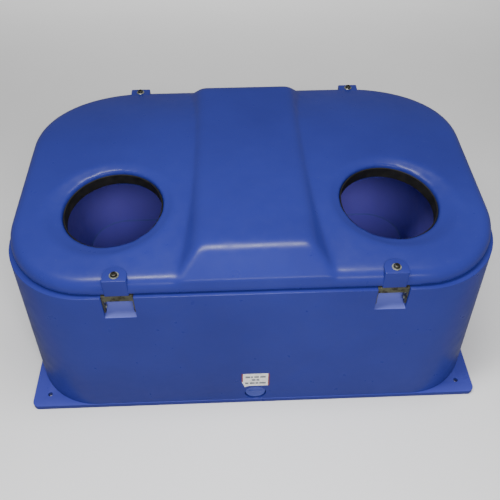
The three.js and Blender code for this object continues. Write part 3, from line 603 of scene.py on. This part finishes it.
def make_riser():
    """The supply duct: a tube with a collar on the basin floor and one at its top."""
    low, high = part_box("supply_riser")
    foot, top = low[2], high[2]
    outer, bore, wide, collar = RISER_R, RISER_BORE, 0.045, 0.0343
    thick, fillet, tall, edge = 0.006, 0.003, 0.0095, 0.001
    profile = [
        (bore, foot), (outer, foot), (outer, collar),
        (wide - edge, collar), (wide, collar + edge), (wide, collar + thick - edge),
        (wide - edge, collar + thick), (outer + fillet, collar + thick + 0.0005),
        (outer, collar + tall), (outer, top - tall),
        (outer + fillet, top - thick - 0.0005), (wide - edge, top - thick),
        (wide, top - thick + edge), (wide, top - edge), (wide - edge, top),
        (bore + edge, top), (bore, top - edge),
    ]
    riser = laid(hoop("supply_riser_moulded", profile, 56), (0, RISER_Y, 0))
    fitted(smooth(riser), BASIN, "tank", "blue_basin", "supply_riser")


# ------------------------------------------------------------------ lid
def crown(x, y):
    """Height of the lid's domed top."""
    front_fall, rear_fall, side_fall = 0.026, 0.0225, 0.012
    if y < CREST_Y:
        reach, fall = CREST_Y + BOLT_Y, front_fall
    else:
        reach, fall = BOLT_Y - CREST_Y, rear_fall
    return CREST_Z - fall * ((y - CREST_Y) / reach) ** 2 - side_fall * (x / LID_X) ** 2


def opening_frame(sx):
    """Where a drinking opening is, and how it leans with the lid's top."""
    sunk, back_tilt, side_tilt = 0.012, 5, 3
    place = Vector((sx * OPENING_X, OPENING_Y, crown(OPENING_X, OPENING_Y) - sunk))
    return place, (back_tilt, sx * side_tilt, 0)


def mouth_cutter(sx):
    """A straight hole whose mouth opens into a soft dish."""
    dish_wide, dish_deep, steps = 0.050, 0.016, 10
    rings = [(OPENING_R, -0.09), (OPENING_R, -0.004)]
    for step in range(steps + 1):
        share = step / steps
        rise = share * share * (3 - 2 * share)
        rings.append((OPENING_R + dish_wide * share, dish_deep * rise))
    rings.append((OPENING_R + dish_wide, 0.080))
    place, turn = opening_frame(sx)
    return laid(stack("mouth_cutter", rings, 72), place, turn)


def tab(sx, sy):
    """A hold-down tab: half round towards the lid's middle, square at its outer face."""
    inner, face = sy * (BOLT_Y - TAB_RADIUS), sy * abs(TAB_FACE)
    across = (sx * BOLT_X - TAB_RADIUS, sx * BOLT_X + TAB_RADIUS)
    ear = block("tab_blank", across, sorted((inner, face)), (SEAM_Z, TAB_Z))
    shaping(ear)
    half_round = TAB_RADIUS - 0.0002
    round_edges(ear, half_round, 12, lambda points: upright(points) and at_y(points, inner))
    round_edges(ear, 0.003, 4, lambda points: upright(points) and at_y(points, face))
    round_edges(ear, 0.0016, 3, lambda points: at_z(points, TAB_Z))
    return shaped(ear)


def housing():
    """The raised block over the float valve: its sides and front slope in to a flat top."""
    top, half, front, rear = LID_HIGH[2], 0.165, -0.343, 0.330
    top_half, top_depth, middle = 0.115, 0.583, -0.0065
    ridge = block("housing_block", (-half, half), (front, rear), (top - 0.050, top))
    shaping(ridge)
    pick(ridge, "FACE", lambda points, normal: normal.z > 0.9)
    slope = (top_half / half, top_depth / (rear - front), 1)
    bpy.ops.transform.resize(value=slope, center_override=(0, middle, top))
    bpy.ops.transform.translate(value=(0, 0.010, 0))
    round_edges(ridge, 0.012, 4, lambda points: abs(points[0].z - points[1].z) > 0.02)
    round_edges(ridge, 0.015, 6, lambda points: at_z(points, top))
    return shaped(ridge)


def lid_body():
    """The domed cover: a straight side, a rounded shoulder, then rings up the crown."""
    edge, edge_steps, crown_steps = 0.024, 7, 14
    front_corner, rear_corner = 0.185, 0.240
    lid = column("lid_moulded", 1 + edge_steps + crown_steps)
    mesh = bmesh.from_edit_mesh(lid.data)
    for vert in mesh.verts:
        level = round(vert.co.z)
        angle = math.pi / 2 * min(max(level - 1, 0), edge_steps) / edge_steps
        inset = edge * (1 - math.cos(angle))
        plan = (LID_X, LID_Y, front_corner, rear_corner)
        x, y = rounded(vert.co.copy(), *[size - inset for size in plan])
        share = 1 - max(0, level - 1 - edge_steps) / (crown_steps + 0.5)
        vert.co.x, vert.co.y = x * share, y * share
        below = edge * (1 - math.sin(angle))
        vert.co.z = crown(vert.co.x, vert.co.y) - below if level else SEAM_Z
    bmesh.update_edit_mesh(lid.data)
    bpy.ops.mesh.select_all(action="SELECT")
    bpy.ops.mesh.normals_make_consistent(inside=False)
    return shaped(lid)


def make_lid():
    """The lid's skin: body, housing, openings and tabs in one, hollow below for its pan."""
    lid = lid_body()
    carve(lid, housing(), operation="UNION")
    carve(lid, *[mouth_cutter(sx) for _, sx in SIDES])
    # a fine remesh and smoothing run the housing and the dishes into the crown
    modify(lid, "REMESH", mode="VOXEL", voxel_size=0.0046, adaptivity=0.0)
    modify(lid, "SMOOTH", factor=0.5, iterations=11)
    carve(lid, *[tab(sx, sy) for _, sx, sy in CORNERS], operation="UNION")

    inner, pan_z = (0.518, 0.339, 0.179, 0.234), 0.4403
    carve(lid, drum("pan_cutter", (*inner, SEAM_Z - 0.02), (*inner, pan_z)))
    for _, sx, sy in CORNERS:
        place = (sx * BOLT_X, sy * BOLT_Y, 0)
        carve(lid, drill("bolt_cutter", BOLT_BORE, 0.40, 0.52, place, sides=20))
    smooth(lid, 50)
    fitted(lid, SHELL, "lid", "blue_shell", "lid_shell", "lid_insulation")


def make_opening_rings():
    """The black linings that stand just inside the drinking openings."""
    outer, inner = OPENING_R - 0.0008, OPENING_R - 0.0036
    top, low, rim = -0.0078, -0.0365, 0.001
    section = [
        (inner, low + rim), (inner + rim, low), (outer - rim, low), (outer, low + rim),
        (outer, top - rim), (outer - 0.0012, top), (inner + 0.0012, top), (inner, top - 0.0012),
        (inner, (top + low) / 2),
    ]
    for side, sx in SIDES:
        place, turn = opening_frame(sx)
        ring = laid(hoop(f"opening_lining_{side}", section, 96), place, turn)
        fitted(smooth(ring), RUBBER, "lid", "rubber", f"opening_ring_{side}")


# ------------------------------------------------------------------ hold-down points
BRACKET_HALF, SHEET, BRACKET_FACE = 0.0327, 0.003, 0.345


def moved(x, y, z=0.0):
    """A plain move by these distances."""
    return Matrix.Translation((x, y, z))


def dropped(*spares):
    """Removes the first ones that copies were made from."""
    for spare in spares:
        bpy.data.objects.remove(spare, do_unlink=True)


def bracket_plate():
    """A folded steel plate: flat top with the bolt's hole, a front lip and two side arms."""
    top, under, front = RIM_Z, RIM_Z - SHEET / 2, -BRACKET_FACE
    plate_deep, lip_z, arm_z, arm_deep = 0.029, top - 0.016, top - 0.054, 0.020
    across = (-BRACKET_HALF, BRACKET_HALF)
    plate = block("bracket_plate", across, (front, front + plate_deep), (top - SHEET, top))
    lip = block("bracket_lip", across, (front, front + SHEET), (lip_z, under))
    carve(plate, lip, operation="UNION")
    for side in (-1, 1):
        x = sorted((side * (BRACKET_HALF - SHEET), side * BRACKET_HALF))
        arm = block("bracket_arm", x, (front, front + arm_deep), (arm_z, under))
        shaping(arm)
        bpy.ops.mesh.select_all(action="SELECT")
        corner, slant = (0, -0.3290, top - 0.0484), (0, 26, -16)
        bpy.ops.mesh.bisect(plane_co=corner, plane_no=slant, use_fill=True, clear_outer=True)
        round_edges(
            arm, 0.003, 3, lambda points: at_z(points, arm_z) and at_y(points, points[0].y)
        )
        shaped(arm)
        carve(plate, arm, operation="UNION")
    carve(plate, drill("bolt_cutter", BOLT_BORE, 0, 0.03, (0, -BOLT_Y, top - 0.01), sides=24))
    soften(plate, 0.0007, 2, 40)
    return smooth(plate, 40)


def pan_screw():
    """A pan-head screw with a crossed slot, its head's underside at the centre."""
    head = [(0.0042, 0), (0.0042, 0.0010), (0.0037, 0.0018), (0.0024, 0.0023), (0.0010, 0.0024)]
    screw = stack("screw_head", head, 28)
    slot_half, slot_wide = 0.0024, 0.0005
    for turn in (0, 90):
        slot = block(
            "slot_cutter", (-slot_half, slot_half), (-slot_wide, slot_wide), (0.0012, 0.004)
        )
        carve(screw, laid(slot, (0, 0, 0), (0, 0, turn)))
    shank = stack("screw_shank", [(0.0021, -0.0078), (0.0022, -0.0060), (0.0022, 0.0004)], 18)
    carve(screw, shank, operation="UNION")
    return smooth(screw, 40)


def hex_nut():
    """The nut held under a bracket."""
    nut = stack("nut_blank", [(0.0062, 0), (0.0075, 0.0009), (0.0075, 0.0056), (0.0062, 0.0065)], 6)
    carve(nut, drill("nut_bore", BOLT_BORE, -0.01, 0.02, (0, 0, 0), sides=24))
    return smooth(nut, 30)


def make_brackets():
    """One bracket, screw and nut are made, and each is copied to its places at the corners."""
    plate, screw, nut = bracket_plate(), pan_screw(), hex_nut()
    nut_gap, nut_high = 0.0003, 0.0065
    nut_z = RIM_Z - SHEET - nut_gap - nut_high
    screw_x, screw_y = 0.0294, 0.335
    for name, sx, sy in CORNERS:
        turn = Matrix.Identity(4) if sy < 0 else Matrix.Rotation(math.pi, 4, "Z")
        bracket = twin(plate, f"steel_bracket_{name}", moved(sx * BOLT_X, 0) @ turn)
        fitted(bracket, BRACKET_STEEL, "tank", "steel", f"bracket_{name}")
        held = twin(nut, f"hex_nut_{name}", moved(sx * BOLT_X, sy * BOLT_Y, nut_z))
        fitted(held, BOLT_STEEL, "tank", "zinc_steel", f"captive_nut_{name}")
        for arm, side in (("inner", -1), ("outer", 1)):
            lean = Matrix.Rotation(-side * sx * math.pi / 2, 4, "Y")
            x = sx * (BOLT_X + side * screw_x)
            for level, z in (("upper", RIM_Z - 0.024), ("lower", RIM_Z - 0.042)):
                where = f"{name}_{arm}_{level}"
                obj = twin(screw, f"pan_screw_{where}", moved(x, sy * screw_y, z) @ lean)
                fitted(obj, BOLT_STEEL, "tank", "zinc_steel", f"bracket_screw_{where}")
    dropped(plate, screw, nut)


def socket_bolt():
    """A threaded bolt with a flanged round head and a six-sided socket."""
    low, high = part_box("hold_down_bolt_front_left")
    root, crest, pitch, threaded = 0.0036, 0.0040, 0.0012, 0.030
    tip, head_top, seat = low[2], high[2], high[2] - 0.005
    rings = [(0.0030, tip), (crest, tip + 0.001)]
    turn_z = tip + 0.001
    while turn_z < tip + threaded:
        rings += [(root, turn_z + pitch / 2), (crest, turn_z + pitch)]
        turn_z += pitch
    rings += [(crest, seat), (0.0068, seat), (0.0070, seat + 0.0006), (0.0068, seat + 0.0022)]
    rings += [(0.0058, head_top - 0.0007), (0.0045, head_top)]
    bolt = stack("bolt_blank", rings, 36)
    socket = (head_top - 0.003, head_top + 0.01)
    carve(bolt, drill("socket_cutter", 0.00346, *socket, (0, 0, 0), sides=6))
    return smooth(bolt, 32)


def flat_washer():
    """The washer between a bolt's head and its tab."""
    outer, bore, edge = 0.0100, BOLT_BORE, 0.0094
    z0, z1 = TAB_Z + 0.0003, TAB_Z + 0.0019
    section = [
        (bore, z0), (edge, z0), (outer, z0 + 0.0005), (outer, z1 - 0.0006), (edge, z1),
        (bore + 0.0003, z1), (bore, z1 - 0.0003),
    ]
    return smooth(hoop("washer_blank", section, 40), 32)


def make_bolts():
    """One bolt and one washer are made, and each is copied to the four tabs."""
    bolt, washer = socket_bolt(), flat_washer()
    for name, sx, sy in CORNERS:
        place = moved(sx * BOLT_X, sy * BOLT_Y)
        hold_down = twin(bolt, f"socket_bolt_{name}", place)
        fitted(hold_down, SOCKET_STEEL, f"bolt_{name}", "zinc_steel", f"hold_down_bolt_{name}")
        under = twin(washer, f"flat_washer_{name}", place)
        fitted(under, BOLT_STEEL, "lid", "zinc_steel", f"washer_{name}")
    dropped(bolt, washer)


# ------------------------------------------------------------------ drain and label
def make_drain():
    """The drain plug: a dished cap with a low grip across it, and a stem into the sleeve."""
    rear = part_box("drain_plug")[1][1]
    cap_deep, stem = 0.007, 0.0074
    cap_front = rear - 0.052 - cap_deep
    length = rear - cap_front
    rings = [
        (0.0165, 0.0024), (0.0205, 0.0012), (0.0224, 0.0), (0.0240, 0.0008), (0.0248, 0.0026),
        (0.0248, cap_deep), (stem, cap_deep), (stem, length - 0.002), (0.0062, length),
    ]
    plug = laid(stack("drain_plug_moulded", rings, 56), (0, cap_front, DRAIN_Z), TO_REAR)
    half, half_high = 0.0155, 0.003
    grip = block(
        "grip", (-half, half), (cap_front + 0.0004, cap_front + 0.003),
        (DRAIN_Z - half_high, DRAIN_Z + half_high),
    )
    shaping(grip)
    round_edges(grip, 0.0014, 3, lambda points: abs(points[0].y - cap_front) < 0.004)
    shaped(grip)
    carve(plug, grip, operation="UNION")
    soften(plug, 0.0006, 2, 50)
    fitted(smooth(plug), FITTING, "plug", "blue_fitting", "drain_plug")


# each row of bars: its lowest and highest share of the height, then each bar's two ends
LABEL_ROWS = (
    (0.66, 0.80, ((0.14, 0.30), (0.33, 0.41), (0.45, 0.62), (0.66, 0.86))),
    (0.42, 0.55, ((0.36, 0.50), (0.53, 0.64))),
    (0.16, 0.29, ((0.12, 0.25), (0.29, 0.47), (0.50, 0.60), (0.63, 0.88))),
)
PAPER, BORDER, INK = 0, 1, 2


def label_part(across, up):
    """Which of the label's three finishes a place on it has."""
    border = 0.046
    if (across < border and up > 0.34) or across > 1 - border:
        return BORDER
    for bottom, top, bars in LABEL_ROWS:
        if bottom < up < top and any(start < across < end for start, end in bars):
            return INK
    return PAPER


def make_label():
    """A small sticker with borders and plain printed bars, one corner peeling away."""
    low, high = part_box("drain_label")
    clear()
    bpy.ops.mesh.primitive_grid_add(x_subdivisions=66, y_subdivisions=50, size=1)
    label = named("drain_sticker")
    width, height = high[0] - low[0], high[2] - low[2]
    label.scale = (width, height, 1)
    label.rotation_euler = (math.pi / 2, 0, 0)
    label.location = ((low[0] + high[0]) / 2, high[1], (low[2] + high[2]) / 2)
    settle(label)

    def share(point):
        return (point.x - low[0]) / width, (point.z - low[2]) / height

    peel, outward, down, inward = 0.30, 0.0017, 0.050, 0.024
    for vert in label.data.vertices:
        across, up = share(vert.co)
        curl = max(0.0, peel - across - 0.9 * up)
        vert.co.y -= outward * curl
        vert.co.z -= down * curl * curl
        vert.co.x += inward * curl
    for face in label.data.polygons:
        face.material_index = label_part(*share(face.center))
    modify(label, "SOLIDIFY", thickness=0.0003, offset=0)
    smooth(label, 40)
    # taking a new set of finishes clears which face has which, so that is put back
    parts = [face.material_index for face in label.data.polygons]
    fitted(label, (LABEL_PAPER, LABEL_RED, LABEL_INK), "tank", "label", "drain_label")
    label.data.polygons.foreach_set("material_index", parts)


# ------------------------------------------------------------------ float valve
def make_float():
    """The ball on the end of the float arm: two halves with a raised seam between them."""
    radius, arm, droop, pivot_y, pivot_z = 0.0492, 0.230, 43.5, 0.070, 0.431
    reach, fall = arm * math.cos(math.radians(droop)), arm * math.sin(math.radians(droop))
    place = Vector((0, pivot_y - reach, pivot_z - fall))
    rings = [(0.0045, -0.0660), (0.0070, -0.0650), (0.0070, -0.0495)]
    steps = 26
    for step in range(2, steps - 1):
        angle = math.pi * step / steps
        seam = 0.0008 if abs(step - steps / 2) < 1 else 0.0
        rings.append(((radius + seam) * math.sin(angle), -radius * math.cos(angle)))
    rings += [(0.006, 0.0488), (0.002, 0.0492)]
    ball = laid(stack("float_ball_moulded", rings), place, (droop + 90, 0, 0))
    fitted(smooth(ball), FLOAT_PLASTIC, "float", "float_plastic", "float_ball")


def carry_over():
    """Pieces whose solids are already right keep their shape and take a finish."""
    finishes = (
        (BRACKET_STEEL, "valve_plate"),
        (VALVE_BRASS, "valve_body", "valve_locknut", "valve_plunger", "float_arm"),
        (VALVE_BRASS, "pipe_union_nut"),
        (BOLT_STEEL, "valve_plate_screw_left", "valve_plate_screw_right", "pivot_pin"),
        (PIPE_PLASTIC, "supply_pipe"),
        (RUBBER, "lid_gasket", "drain_seal"),
        (FITTING, "drain_sleeve"),
        (SHELL, "lid_pan", "valve_cover"),
    )
    for material, *names in finishes:
        for name in names:
            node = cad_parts[name]
            node.data.materials.clear()
            node.data.materials.append(material)


# ------------------------------------------------------------------ floor, lights and camera
def make_stage():
    """A pale floor and even light all round; the floor isn't mirrored in the plastic."""
    clear()
    bpy.ops.mesh.primitive_plane_add(size=14, location=(0, 1.0, -0.0005))
    floor = named("studio_floor")
    f = Finish("studio_floor_paint")
    f.mottle(2, 2, (0.88, 0.88, 0.88), (0.90, 0.90, 0.90))
    f.rough(f.span(f.noise(8, 2), 0.75, 0.9))
    floor.data.materials.append(f.material)
    floor.visible_glossy = False
    world = bpy.data.worlds.new("studio")
    bpy.context.scene.world = world
    world.use_nodes = True
    background = world.node_tree.nodes["Background"]
    background.inputs["Color"].default_value = (1.0, 1.0, 1.0, 1)
    background.inputs["Strength"].default_value = 0.24


def area(name, place, target, size, power, mirrored=True):
    """A rectangular soft light that faces a target."""
    light = bpy.data.lights.new(name, "AREA")
    light.shape = "RECTANGLE"
    light.size, light.size_y = size
    light.energy = power
    obj = bpy.data.objects.new(name, light)
    facing = Vector(target) - Vector(place)
    obj.location = place
    obj.rotation_euler = facing.to_track_quat("-Z", "Y").to_euler()
    obj.visible_glossy = mirrored
    bpy.context.collection.objects.link(obj)


def make_lights():
    area("key_softbox", (-0.20, -0.45, 1.95), (0, -0.95, 0.3), (1.3, 0.30), 34)
    area("low_strip", (0.3, -2.6, 1.45), (0, -0.2, 0.35), (1.6, 0.22), 15)
    area("front_fill", (0.1, -1.75, 1.95), (0, -0.2, 0.3), (0.9, 0.5), 34, mirrored=False)
    area("floor_softbox", (0, 2.6, 2.0), (0, 4.2, 0), (3.4, 1.0), 90, mirrored=False)


def make_camera():
    """The camera looks down at the trough's front from a little to the left of its middle."""
    down, aside, roll = math.radians(46.27), math.radians(2.283), math.radians(-0.04)
    level = math.cos(down)
    forward = Vector((math.sin(aside) * level, math.cos(aside) * level, -math.sin(down)))
    right = Vector((math.cos(aside), -math.sin(aside), 0))
    up = right.cross(forward)
    facing = Matrix((right, up, -forward)).transposed().to_4x4() @ Matrix.Rotation(roll, 4, "Z")
    data = bpy.data.cameras.new("camera")
    data.lens, data.sensor_width = 45.15, 36
    camera = bpy.data.objects.new("camera", data)
    camera.matrix_world = moved(-0.0453, -1.1606, 1.3951) @ facing
    bpy.context.collection.objects.link(camera)
    bpy.context.scene.camera = camera


make_camera()
make_casing()
make_flange()
make_basin()
make_riser()
make_lid()
make_opening_rings()
make_brackets()
make_bolts()
make_drain()
make_label()
make_float()
carry_over()
make_stage()
make_lights()
